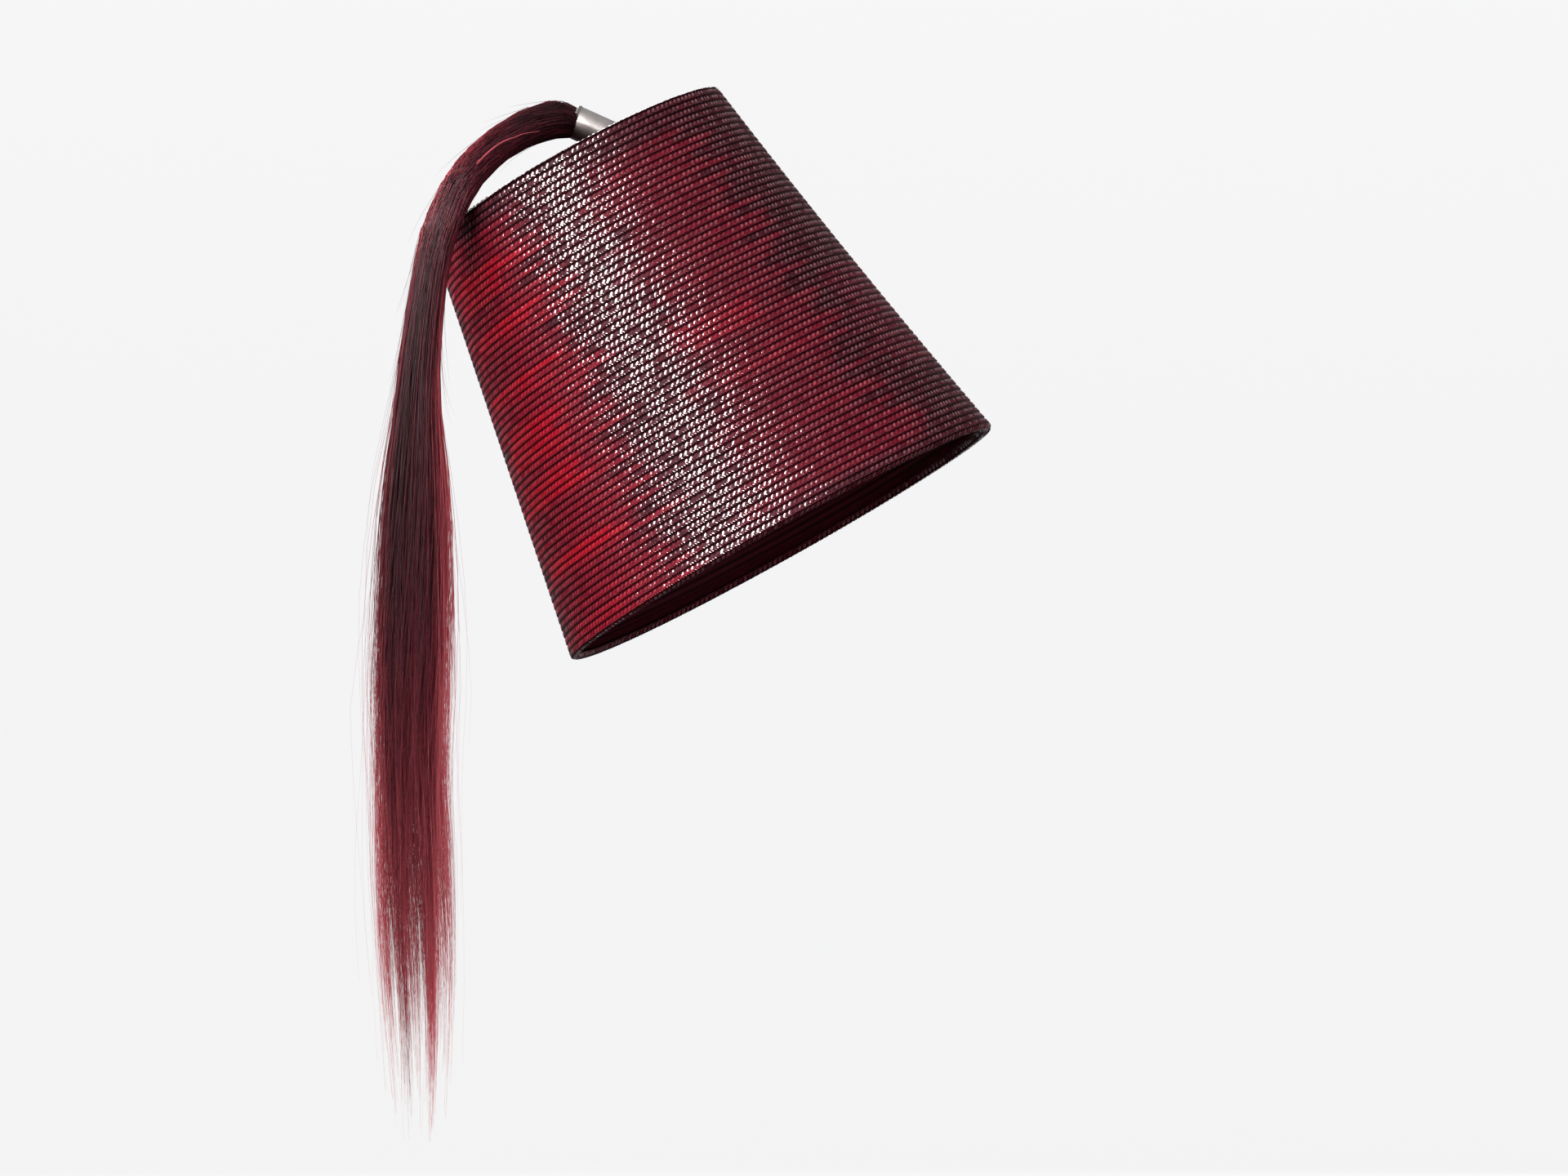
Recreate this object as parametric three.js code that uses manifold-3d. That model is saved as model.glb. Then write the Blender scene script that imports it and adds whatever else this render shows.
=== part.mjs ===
// A fez of spiral-sewn braid with a hair tassel, worn tilted back. Millimetres.
// x is the hat's front, z is up, and the origin is the middle of the head opening in the rim's plane.
import * as THREE from "three";
import Module from "manifold-3d";

const wasm = await Module();
wasm.setup();

// Cap, measured in its own frame before it is tilted: outside lengths of its two ovals and the height between them
const TILT = 29; // degrees that the cap leans back
const RIM_LENGTH = 197;
const RIM_WIDTH = 168;
const TOP_LENGTH = 134.4;
const TOP_WIDTH = 122;
const TOP_FORWARD = 1; // how far the middle of the flat top lies in front of the rim's middle
const HEIGHT = 177.3;
const WALL = 2.4;
const FRONT_HOLLOW = 1.2; // how far the front line bows in, halfway up

// Braid
const ROW_PITCH = 3.02;
const GROOVE = 0.9; // depth of the seam between two rows
const ROW_PHASE = 0.12; // rows from the top edge to the seam nearest it, at the front
const BUTTON_RADIUS = 11; // flat start of the spiral
const COLUMNS = 26;

// Rim: the last row turned under
const RIM_TURN = 4.6;
const RIM_RISE = 3.4;
const RIM_ROUND = 1.2;

// Ferrule and its post
const FERRULE_FORWARD = 21.5; // from the middle of the flat top to the ferrule's foot
const FERRULE_LEAN = 36.5; // degrees back from the cap's axis
const FERRULE_LENGTH = 22.5;
const FERRULE_DIAMETER = 14;
const FERRULE_WALL = 0.8;
const PLUG_LENGTH = 9;
const NECK_DIAMETER = 6;
const FLANGE_DIAMETER = 20;
const FLANGE_THICKNESS = 1.2;

// Hair
const HAIR_DIAMETER = 14.4; // of the hank where it bends over the shoulder
const HAIR_FAN = 35; // of the hank at its widest, below
const HAIR_DEPTH = 0.8; // share of its width, from the side that faces away
const HAIR_DROP = 243; // from the rim's plane, at the middle of the cap, down to the lowest hair
const SHOULDER_ANGLE = 45; // degrees round the flat top, from its rear toward the wearer's right
const SHOULDER_LIFT = 1.5; // how far the bend clears the cap's edge
const SHOULDER_DRIFT = 14.5; // how far the hair swings out from the bend before it hangs plumb
const SHOULDER_SLANT = 26; // degrees from plumb at which it leaves the bend
const ARCH_OUT = 9; // pull of the ferrule's direction on the arch
const ARCH_DOWN = 27; // pull of the shoulder's direction on the arch

const GAP = 0.3; // clearance between pieces

const rad = THREE.MathUtils.degToRad;
const tilt = new THREE.Matrix4().makeRotationY(-rad(TILT));
const inCap = (u, v, w) => new THREE.Vector3(u, v, w).applyMatrix4(tilt);

const toSolid = (geometry) => {
  const g = geometry.index ? geometry.toNonIndexed() : geometry;
  const p = g.getAttribute("position").array;
  const mesh = new wasm.Mesh({
    numProp: 3,
    vertProperties: new Float32Array(p),
    triVerts: Uint32Array.from({ length: p.length / 3 }, (_, i) => i),
  });
  mesh.merge();
  return new wasm.Manifold(mesh);
};

const toMesh = (solid, name, look) => {
  const m = solid.getMesh();
  const p = new Float32Array(m.numVert * 3);
  for (let i = 0; i < m.numVert; i++)
    p.set(m.vertProperties.subarray(i * m.numProp, i * m.numProp + 3), i * 3);
  const g = new THREE.BufferGeometry()
    .setAttribute("position", new THREE.BufferAttribute(p, 3))
    .setIndex(new THREE.BufferAttribute(Uint32Array.from(m.triVerts), 1));
  g.computeVertexNormals();
  const mesh = new THREE.Mesh(g, new THREE.MeshStandardMaterial(look));
  mesh.name = name;
  return mesh;
};

// A closed geometry from rings of points; each ring is an array of vectors, and both ends are capped.
const loft = (rings) => {
  const n = rings[0].length;
  const p = rings.flat();
  const index = [];
  for (let i = 0; i + 1 < rings.length; i++)
    for (let j = 0; j < n; j++) {
      const a = i * n + j;
      const b = i * n + ((j + 1) % n);
      index.push(a, b, a + n, b, b + n, a + n);
    }
  for (const [ring, flip] of [[0, true], [rings.length - 1, false]]) {
    const c = p.length;
    p.push(
      rings[ring]
        .reduce((sum, q) => sum.add(q), new THREE.Vector3())
        .divideScalar(n),
    );
    for (let j = 0; j < n; j++) {
      const a = ring * n + j;
      const b = ring * n + ((j + 1) % n);
      index.push(...(flip ? [b, a, c] : [a, b, c]));
    }
  }
  return new THREE.BufferGeometry().setFromPoints(p).setIndex(index);
};

// The cap. s counts rows from the edge of the flat top: below zero on the top, above zero down the side.
const drop = HEIGHT - RIM_ROUND;
const slant = (Math.hypot(HEIGHT, (RIM_LENGTH - TOP_LENGTH) / 2) + Math.hypot(HEIGHT, (RIM_WIDTH - TOP_WIDTH) / 2)) / 2;
const sideRows = slant / ROW_PITCH;
const tipRows = (TOP_LENGTH + TOP_WIDTH) / 4 / ROW_PITCH;
const buttonRows = BUTTON_RADIUS / ROW_PITCH;

// The outside of the cap at share t of its side, with the way out of the wall there.
const side = (t, angle) => {
  const a = THREE.MathUtils.lerp(TOP_LENGTH, RIM_LENGTH, t) / 2;
  const b = THREE.MathUtils.lerp(TOP_WIDTH, RIM_WIDTH, t) / 2;
  const c = Math.cos(angle);
  const hollow = FRONT_HOLLOW * 4 * t * (1 - t) * Math.max(0, c) ** 2;
  const out = new THREE.Vector2(c / a, Math.sin(angle) / b).normalize();
  const flare = Math.atan2((RIM_LENGTH - TOP_LENGTH) / 2, HEIGHT);
  return {
    at: new THREE.Vector3((a - hollow) * c + TOP_FORWARD * (1 - t), b * Math.sin(angle), HEIGHT - drop * t),
    out: new THREE.Vector3(out.x * Math.cos(flare), out.y * Math.cos(flare), Math.sin(flare)),
  };
};
const braid = (s, angle, depth) => {
  if (s > 0) {
    const { at, out } = side(s / sideRows, angle);
    return at.addScaledVector(out, -depth);
  }
  const f = 1 + s / tipRows;
  return new THREE.Vector3(
    (f * TOP_LENGTH * Math.cos(angle)) / 2 + TOP_FORWARD,
    (f * TOP_WIDTH * Math.sin(angle)) / 2,
    HEIGHT - depth,
  );
};

const capSolid = () => {
  const points = [];
  const index = [];
  const add = (p) => points.push(p.applyMatrix4(tilt)) - 1;
  const angleOf = (j) => (-2 * Math.PI * j) / COLUMNS;
  const ring = (make) => Array.from({ length: COLUMNS }, (_, j) => add(make(angleOf(j))));
  const first = -(tipRows - buttonRows);
  const start = ring((a) => braid(first, a, 0));
  const end = ring((a) => braid(sideRows, a, 0));
  // The spiral: two lines of points for each row, a seam and a ridge, that run on into the next row after a turn.
  const from = Math.floor((first - ROW_PHASE) * 2) - 2;
  const to = Math.ceil((sideRows - ROW_PHASE) * 2);
  const known = new Map();
  const vertex = (k, j) => {
    if (j === COLUMNS) return vertex(k + 2, 0);
    const s = k / 2 + j / COLUMNS + ROW_PHASE;
    if (s <= first) return start[j];
    if (s >= sideRows) return end[j];
    const key = k * COLUMNS + j;
    if (!known.has(key)) known.set(key, add(braid(s, angleOf(j), k % 2 ? 0 : GROOVE)));
    return known.get(key);
  };
  const face = (a, b, c) => {
    if (a !== b && b !== c && a !== c) index.push(a, b, c);
  };
  for (let k = from; k < to; k++)
    for (let j = 0; j < COLUMNS; j++) {
      const [a, b, c, d] = [vertex(k, j), vertex(k, j + 1), vertex(k + 1, j + 1), vertex(k + 1, j)];
      face(a, b, d);
      face(b, c, d);
    }
  // The turned row at the rim, then the inside of the wall and of the flat top
  const rimRing = (inward, up) =>
    ring((a) => {
      const { at, out } = side(1 - (up - RIM_ROUND) / drop, a);
      return at.add(new THREE.Vector3(-out.x * inward, -out.y * inward, 0));
    });
  const rings = [
    end,
    rimRing(RIM_ROUND, 0),
    rimRing(RIM_TURN - RIM_ROUND, 0),
    rimRing(RIM_TURN, RIM_ROUND),
    rimRing(RIM_TURN, RIM_RISE),
    rimRing(WALL, RIM_RISE + WALL),
    ...[0.8, 0.6, 0.4, 0.2].map((t) =>
      ring((a) => {
        const { at, out } = side(t, a);
        return at.addScaledVector(out, -WALL);
      }),
    ),
    ring((a) => {
      const { at, out } = side(0, a);
      return new THREE.Vector3(at.x - out.x * WALL, at.y - out.y * WALL, HEIGHT - WALL);
    }),
    ring((a) => braid(-tipRows / 2, a, WALL)),
  ];
  for (let i = 0; i + 1 < rings.length; i++)
    for (let j = 0; j < COLUMNS; j++) {
      const [a, b] = [rings[i][j], rings[i][(j + 1) % COLUMNS]];
      const [d, c] = [rings[i + 1][j], rings[i + 1][(j + 1) % COLUMNS]];
      face(a, b, d);
      face(b, c, d);
    }
  const top = add(new THREE.Vector3(TOP_FORWARD, 0, HEIGHT));
  const under = add(new THREE.Vector3(TOP_FORWARD, 0, HEIGHT - WALL));
  const last = rings[rings.length - 1];
  for (let j = 0; j < COLUMNS; j++) {
    const n = (j + 1) % COLUMNS;
    face(start[n], start[j], top);
    face(last[j], last[n], under);
  }
  return toSolid(new THREE.BufferGeometry().setFromPoints(points).setIndex(index));
};

// Round bars and discs: along the ferrule's axis from its foot, or along the cap's own axis
const footAt = inCap(TOP_FORWARD + FERRULE_FORWARD, 0, HEIGHT);
const ferruleAxis = new THREE.Vector3(-Math.sin(rad(FERRULE_LEAN)), 0, Math.cos(rad(FERRULE_LEAN))).applyMatrix4(tilt);
const capAxis = inCap(0, 0, 1);
const bar = (at, axis, radius, from, to, sides = 24) => {
  const g = new THREE.CylinderGeometry(radius, radius, to - from, sides);
  g.translate(0, (from + to) / 2, 0);
  g.applyQuaternion(new THREE.Quaternion().setFromUnitVectors(new THREE.Vector3(0, 1, 0), axis));
  g.translate(at.x, at.y, at.z);
  return toSolid(g);
};
// Everything under the flat top's upper face, raised by the clearance: it cuts the ferrule's slanted foot.
const below = toSolid(
  new THREE.BoxGeometry(TOP_LENGTH, TOP_WIDTH, HEIGHT)
    .translate(TOP_FORWARD, 0, HEIGHT / 2 + GAP)
    .applyMatrix4(tilt),
);

const boreRadius = FERRULE_DIAMETER / 2 - FERRULE_WALL;
const heel = FERRULE_DIAMETER * Math.tan(rad(FERRULE_LEAN));
const ferruleSolid = bar(footAt, ferruleAxis, FERRULE_DIAMETER / 2, -heel, FERRULE_LENGTH)
  .subtract(bar(footAt, ferruleAxis, boreRadius, -heel - 1, FERRULE_LENGTH + 1))
  .subtract(below);

const plugRadius = boreRadius - GAP;
const neckRadius = NECK_DIAMETER / 2;
const postSolid = bar(footAt, ferruleAxis, plugRadius, -heel, PLUG_LENGTH)
  .subtract(below)
  .add(bar(footAt, capAxis, neckRadius, -WALL - GAP - FLANGE_THICKNESS / 2, PLUG_LENGTH / 2, 16))
  .add(bar(footAt, capAxis, FLANGE_DIAMETER / 2, -WALL - GAP - FLANGE_THICKNESS, -WALL - GAP));

// The hair's route: out of the ferrule's mouth, over the shoulder of the flat top, then plumb to its tips
const mouth = footAt.clone().addScaledVector(ferruleAxis, FERRULE_LENGTH + GAP);
const shoulderTurn = rad(180 + SHOULDER_ANGLE);
const bend = side(0, shoulderTurn);
const away = bend.out.clone().add(new THREE.Vector3(0, 0, 1)).normalize();
const shoulder = bend.at.clone().addScaledVector(away, HAIR_DIAMETER / 2 + SHOULDER_LIFT).applyMatrix4(tilt);
const arch = new THREE.CubicBezierCurve3(
  mouth,
  mouth.clone().addScaledVector(ferruleAxis, ARCH_OUT),
  shoulder.clone().add(new THREE.Vector3(Math.sin(rad(SHOULDER_SLANT)), 0, Math.cos(rad(SHOULDER_SLANT))).multiplyScalar(ARCH_DOWN)),
  shoulder,
);

// Sections down the fall: share of the way from the shoulder to the tips, share of the drift, share of the fan
const FALL = [
  { down: 0.04, drift: 0.42, fan: 0.42 },
  { down: 0.09, drift: 0.66, fan: 0.43 },
  { down: 0.15, drift: 0.85, fan: 0.48 },
  { down: 0.22, drift: 0.96, fan: 0.57 },
  { down: 0.31, drift: 1.0, fan: 0.82 },
  { down: 0.4, drift: 1.02, fan: 0.94 },
  { down: 0.5, drift: 1.06, fan: 1.0 },
  { down: 0.6, drift: 1.06, fan: 0.95 },
  { down: 0.7, drift: 0.98, fan: 0.84 },
  { down: 0.8, drift: 0.88, fan: 0.7 },
];
// Free ends of the locks: place round the hank in degrees, how far out as a share of its radius, and where each ends
const LOCKS = [
  { turn: 0, off: 0.0, end: 1.0, thick: 0.42 },
  { turn: 15, off: 0.62, end: 0.93, thick: 0.34 },
  { turn: 75, off: 0.6, end: 0.97, thick: 0.33 },
  { turn: 135, off: 0.62, end: 0.9, thick: 0.32 },
  { turn: 195, off: 0.62, end: 0.96, thick: 0.34 },
  { turn: 255, off: 0.6, end: 0.92, thick: 0.33 },
  { turn: 315, off: 0.62, end: 0.98, thick: 0.32 },
];
const fall = shoulder.z + HAIR_DROP;
const placeDown = ({ down, drift }) =>
  new THREE.Vector3(shoulder.x - SHOULDER_DRIFT * drift, shoulder.y, shoulder.z - fall * down);
// The hank's radius along the arch, as shares of its radius at the shoulder
const ARCH_SWELL = [0.94, 1.1, 1.14, 1.12, 1.08, 1.03, 1, 1, 1, 1];
const ARCH_STEPS = ARCH_SWELL.length - 1;
const stations = [
  ...Array.from({ length: ARCH_STEPS + 1 }, (_, i) => ({
    at: arch.getPoint(i / ARCH_STEPS),
    radius: (HAIR_DIAMETER / 2) * ARCH_SWELL[i],
  })),
  ...FALL.map((row) => ({ at: placeDown(row), radius: (HAIR_FAN / 2) * row.fan })),
];
const spine = new THREE.CatmullRomCurve3(stations.map((q) => q.at));
const lobed = (at, along, radius, depth, twist, points) => {
  const across = new THREE.Vector3(0, 1, 0).addScaledVector(along, -along.y).normalize();
  const back = new THREE.Vector3().crossVectors(along, across);
  return points.map(({ turn, out }) =>
    at
      .clone()
      .addScaledVector(back, -radius * out * Math.cos(turn + twist))
      .addScaledVector(across, radius * depth * out * Math.sin(turn + twist)),
  );
};
// Six lobes, each with a ridge of two points and a furrow, turning slowly down the hank
const SECTION = Array.from({ length: 18 }, (_, i) => ({
  turn: (i * Math.PI) / 9,
  out: i % 3 === 0 ? 0.8 : 1,
}));
const trunk = toSolid(
  loft(
    stations.map((q, i) => {
      const along = i === 0 ? ferruleAxis : spine.getTangent(i / (stations.length - 1));
      return lobed(q.at, along, q.radius, i > ARCH_STEPS ? HAIR_DEPTH : 1, i * 0.05, SECTION);
    }),
  ),
);
const ROUND = Array.from({ length: 6 }, (_, i) => ({ turn: (i * Math.PI) / 3, out: 1 }));
const locks = LOCKS.map(({ turn, off, end, thick }) => {
  const base = FALL[FALL.length - 3];
  const width = (HAIR_FAN / 2) * base.fan;
  const shift = new THREE.Vector3(
    -width * off * Math.cos(rad(turn)),
    width * off * HAIR_DEPTH * Math.sin(rad(turn)),
    0,
  );
  return toSolid(
    loft(
      [0, 0.35, 0.7, 0.9, 1].map((share) => {
        const down = THREE.MathUtils.lerp(base.down, end, share);
        const close = 1 - 0.45 * share;
        return lobed(
          placeDown({ down, drift: THREE.MathUtils.lerp(base.drift, 0.74, share) }).addScaledVector(shift, close),
          new THREE.Vector3(0, 0, -1),
          width * thick * [1, 0.9, 0.66, 0.36, 0.08][[0, 0.35, 0.7, 0.9, 1].indexOf(share)],
          1,
          0,
          ROUND,
        );
      }),
    ),
  );
});
const head = bar(footAt, ferruleAxis, plugRadius, PLUG_LENGTH + GAP, FERRULE_LENGTH + GAP + HAIR_DIAMETER / 4, 18);
// The hank swells round the ferrule's lip and stays clear of it.
const lip = bar(footAt, ferruleAxis, FERRULE_DIAMETER / 2 + GAP, -heel, FERRULE_LENGTH + GAP);
const hairSolid = locks.reduce((sum, lock) => sum.add(lock), trunk.subtract(lip).add(head));

const crownSolid = capSolid().subtract(
  bar(footAt, capAxis, neckRadius + GAP, -WALL - 1, 1, 16),
);

const group = new THREE.Group();
group.add(
  toMesh(crownSolid, "braid_crown", { color: 0x5c1824, roughness: 0.45, metalness: 0 }),
  toMesh(ferruleSolid, "tassel_ferrule", { color: 0x8f8781, roughness: 0.35, metalness: 1 }),
  toMesh(postSolid, "ferrule_post", { color: 0x6d6864, roughness: 0.5, metalness: 1 }),
  toMesh(hairSolid, "tassel_hair", { color: 0x3a1016, roughness: 0.5, metalness: 0 }),
);
export default group;
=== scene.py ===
# A fez of spiral-sewn braid with a hair tassel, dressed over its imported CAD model.
# x is the hat's front, z is up, and the origin is the middle of the head opening.
# Sizes are in millimetres until a mesh is made.
import math

import bpy
import numpy as np
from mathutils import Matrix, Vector


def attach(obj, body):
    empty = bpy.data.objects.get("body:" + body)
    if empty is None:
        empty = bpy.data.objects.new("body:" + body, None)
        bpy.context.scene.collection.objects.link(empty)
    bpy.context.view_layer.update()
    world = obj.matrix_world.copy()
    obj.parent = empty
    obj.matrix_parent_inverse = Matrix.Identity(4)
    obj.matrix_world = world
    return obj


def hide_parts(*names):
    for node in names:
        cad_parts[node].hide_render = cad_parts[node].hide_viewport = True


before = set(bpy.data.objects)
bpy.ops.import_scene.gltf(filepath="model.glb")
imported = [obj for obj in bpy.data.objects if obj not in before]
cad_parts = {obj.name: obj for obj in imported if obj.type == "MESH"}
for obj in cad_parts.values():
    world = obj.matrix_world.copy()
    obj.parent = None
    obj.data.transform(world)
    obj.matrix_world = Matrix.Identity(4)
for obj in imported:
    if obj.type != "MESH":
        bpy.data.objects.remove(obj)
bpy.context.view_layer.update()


# Braid wall. A narrow plaited braid is wound round a block in one spiral, each turn overlapping the last and
# sewn to it. This is the stiff wall that the sewing makes: a rounded row for each turn, a deep seam between
# rows, and the last rows turned under at the rim.
TILT = math.radians(29)  # the cap leans back
RIM_LENGTH, RIM_WIDTH = 197, 168
TOP_LENGTH, TOP_WIDTH = 134.4, 122
TOP_FORWARD = 1
HEIGHT = 177.3
FRONT_HOLLOW = 1.2
ROW_PITCH = 3.02
ROW_PHASE = 0.12
WALL = 2.4
RIM_ROUND = 1.2
RIM_TURN = 4.6
RIM_RISE = 3.4
EDGE_ROUND = 0.34  # rows over which the edge of the flat top is rounded
CENTRE_ROWS = 0.7  # rows left out at the very middle of the flat top
COLUMNS = 84

SIDE_DROP = HEIGHT - RIM_ROUND
LONG_SLANT = math.hypot(HEIGHT, (RIM_LENGTH - TOP_LENGTH) / 2)
WIDE_SLANT = math.hypot(HEIGHT, (RIM_WIDTH - TOP_WIDTH) / 2)
SIDE_ROWS = (LONG_SLANT + WIDE_SLANT) / 2 / ROW_PITCH
TIP_ROWS = (TOP_LENGTH + TOP_WIDTH) / 4 / ROW_PITCH
LIP_IN = [0, RIM_ROUND, RIM_TURN - RIM_ROUND, RIM_TURN, RIM_TURN]
LIP_UP = [RIM_ROUND, 0, 0, RIM_ROUND, RIM_RISE]
LIP_ALONG = np.concatenate([[0], np.cumsum(np.hypot(np.diff(LIP_IN), np.diff(LIP_UP)))])
FIRST_ROW = CENTRE_ROWS - TIP_ROWS
LAST_ROW = SIDE_ROWS + LIP_ALONG[-1] / ROW_PITCH


def tilted(p):
    """Points of the upright cap, leaned back as it is worn."""
    c, s = math.cos(TILT), math.sin(TILT)
    return np.stack([p[..., 0] * c - p[..., 2] * s, p[..., 1], p[..., 0] * s + p[..., 2] * c], -1)


def unit(v):
    """The same directions, each 1 long."""
    return v / np.maximum(np.linalg.norm(v, axis=-1, keepdims=True), 1e-12)


def oval(t, angle):
    """Half length and half width of the cap at share t of its side, the angle's cosine and sine,
    and the level way out of its wall."""
    c, s = np.cos(angle), np.sin(angle)
    a = (TOP_LENGTH + (RIM_LENGTH - TOP_LENGTH) * t) / 2
    b = (TOP_WIDTH + (RIM_WIDTH - TOP_WIDTH) * t) / 2
    out = unit(np.stack([c / a, s / b], -1))
    return a - FRONT_HOLLOW * 4 * t * (1 - t) * np.maximum(0, c) ** 2, b, c, s, out


def on_wall(row, angle):
    """The outside of the upright cap. Rows count from the edge of the flat top: those below zero lie on it,
    and those past SIDE_ROWS go round the lip."""
    total = 0
    for shift, weight in ((-EDGE_ROUND, 0.25), (0, 0.5), (EDGE_ROUND, 0.25)):
        at = row + shift
        t = np.clip(at, 0, SIDE_ROWS) / SIDE_ROWS
        a, b, c, s, out = oval(t, angle)
        f = np.clip(1 + np.minimum(at, 0) / TIP_ROWS, 0, 1)
        past = np.maximum(at - SIDE_ROWS, 0) * ROW_PITCH
        inward = np.interp(past, LIP_ALONG, LIP_IN)
        x = f * a * c + TOP_FORWARD * (1 - t) - inward * out[..., 0]
        y = f * b * s - inward * out[..., 1]
        z = HEIGHT - SIDE_DROP * t + np.interp(past, LIP_ALONG, LIP_UP) - RIM_ROUND
        total = total + weight * np.stack([x, y, z], -1)
    return total


def out_of_wall(row, angle):
    """The way straight out of the cap, from a short step each way along its outside."""
    rows, radians = 0.06, 0.002
    down = on_wall(row + rows, angle) - on_wall(row - rows, angle)
    round_it = on_wall(row, angle + radians) - on_wall(row, angle - radians)
    return unit(np.cross(down, round_it))


def in_wall(row, angle, relief):
    """The inside of the upright cap."""
    t = np.clip(row, 0, SIDE_ROWS) / SIDE_ROWS
    a, b, c, s, out = oval(t, angle)
    f = np.clip(1 + np.minimum(row, 0) / TIP_ROWS, 0, 1)
    steep = np.clip(row + 0.5, 0, 1)
    inset = WALL * 1.02 + relief * steep
    x = f * (a * c - inset * out[..., 0]) + TOP_FORWARD * (1 - t)
    y = f * (b * s - inset * out[..., 1])
    z = HEIGHT - WALL - (HEIGHT - WALL * 2 - RIM_RISE) * t - relief * (1 - steep)
    return np.stack([x, y, z], -1)


# Where the dye took: from row to row, from degree to degree round the cap, and how red.
# The near side follows the hat, and the far side is more of the same.
RED_PATCHES = [
    (7, 12.5, 200, 234, 1.0), (15.2, 18, 196, 235, 0.95), (23.3, 26.4, 196, 233, 0.95),
    (28.6, 35.4, 195, 232, 1.0), (36.6, 41, 191, 228, 0.95), (47, 50, 196, 230, 1.0),
    (56.5, 59.5, 198, 227, 0.75), (3, 60, 186, 244, 0.64),
    (7, 12, 262, 284, 0.5), (15, 17, 262, 290, 0.5), (19, 21.5, 268, 284, 0.4),
    (24, 25.6, 266, 292, 0.55), (29, 34, 266, 292, 0.62), (37, 40, 268, 302, 0.55),
    (43, 45, 262, 290, 0.45), (47, 49, 266, 312, 0.55), (53, 56, 276, 318, 0.45),
    (4, 58, 266, 312, 0.46), (1, 60, 234, 276, 0.24),
    (30, 48, 318, 356, 0.3), (11, 13, 316, 330, 0.3),
]
FAR_PATCHES = 30
PLAIN_DYE = 0.17
RAGGED_TURNS = 97
dice = np.random.default_rng(11)
for _ in range(FAR_PATCHES):
    first_row, middle = dice.uniform(-16, 56), dice.uniform(5, 178)
    last_row = first_row + dice.uniform(1.5, 5.5)
    start, end = middle - dice.uniform(10, 24), middle + dice.uniform(10, 24)
    RED_PATCHES.append((first_row, last_row, start, end, dice.uniform(0.35, 1.0)))
RAGGED = dice.uniform(-1, 1, (RAGGED_TURNS, len(RED_PATCHES), 2))


def dyed(row, angle, turn):
    """How red the braid is there, from 0 where the dye stayed dark to 1.
    Each turn of the braid starts and stops its patches a little differently."""
    degrees = np.degrees(angle) % 360
    amount = np.full(np.shape(row), PLAIN_DYE)
    for k, (first, last, start, end, strength) in enumerate(RED_PATCHES):
        ragged = RAGGED[np.asarray(turn, int) % RAGGED_TURNS, k]
        half = (end - start) / 2
        from_middle = (degrees - (start + end) / 2 + 180) % 360 - 180
        soft = 2 + 0.14 * (end - start)
        start_edge = np.clip((from_middle + half + 0.8 * soft * ragged[..., 0]) / soft + 0.5, 0, 1)
        end_edge = np.clip((half + soft * ragged[..., 1] - from_middle) / soft + 0.5, 0, 1)
        in_rows = np.clip((row - first) / 1.2 + 0.5, 0, 1) * np.clip((last - row) / 1.2 + 0.5, 0, 1)
        patch = strength * in_rows * start_edge * end_edge
        amount = np.maximum(amount, patch * (1 + 0.12 * ragged[..., 1]))
    return np.clip(amount, 0, 1)


def wound(place, first, last, lines, outwards):
    """A sheet whose rows run on into each other, with lines at those shares of each row: after a turn, a line
    goes on in the next row. It ends in a ring at the first and the last row. It gives the points, the faces,
    and each point's row, angle, line and turn."""
    count = len(lines)
    k = np.arange(math.floor((first - ROW_PHASE) * count) - count, math.ceil((last - ROW_PHASE) * count) + 1)
    kk, jj = np.meshgrid(k, np.arange(COLUMNS), indexing="ij")
    row = kk // count + np.array(lines)[kk % count] + jj / COLUMNS + ROW_PHASE
    ends = np.array([[first] * COLUMNS, [last] * COLUMNS])
    rows = np.concatenate([ends, row])
    angles = np.broadcast_to(-2 * np.pi * np.arange(COLUMNS) / COLUMNS, rows.shape)
    line = np.concatenate([np.full((2, COLUMNS), -1), kk % count])
    turn = np.concatenate([np.floor(ends), kk // count]).astype(int)
    points = place(np.clip(rows, first, last), angles, line)
    index = np.arange(row.size).reshape(row.shape) + 2 * COLUMNS
    index = np.where(row <= first, jj, np.where(row >= last, jj + COLUMNS, index))
    wrapped = np.concatenate([index[:-count], index[count:, :1]], 1)  # the last column runs on lower down
    a, b = wrapped[:-1, :-1], wrapped[:-1, 1:]
    d, c = wrapped[1:, :-1], wrapped[1:, 1:]
    quads = np.stack([a, b, c, d] if outwards else [d, c, b, a], -1).reshape(-1, 4)
    faces = [list(dict.fromkeys(q)) for q in quads.tolist()]
    faces = [q for q in faces if len(q) > 2]
    return points.reshape(-1, 3), faces, rows.ravel(), angles.ravel(), line.ravel(), turn.ravel()


def plain_mesh(name, points, faces, edges=(), values=None):
    """A smooth mesh in metres, with one value a point for each named attribute.
    Points that no face or edge uses are left out."""
    corners = np.concatenate([np.ravel(list(f)) for f in faces]) if len(faces) else np.ravel(edges)
    used = np.unique(corners).astype(int)
    new = np.full(len(points), -1)
    new[used] = np.arange(used.size)
    mesh = bpy.data.meshes.new(name)
    in_metres = (np.asarray(points)[used] * 0.001).tolist()
    mesh.from_pydata(in_metres, [tuple(new[list(e)]) for e in edges], [tuple(new[list(f)]) for f in faces])
    for key, value in (values or {}).items():
        wide = np.ndim(value) == 2
        layer = mesh.attributes.new(key, "FLOAT_VECTOR" if wide else "FLOAT", "POINT")
        numbers = np.asarray(value, np.float32)[used].ravel()
        layer.data.foreach_set("vector" if wide else "value", numbers)
    mesh.shade_smooth()
    mesh.update()
    return mesh


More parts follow.
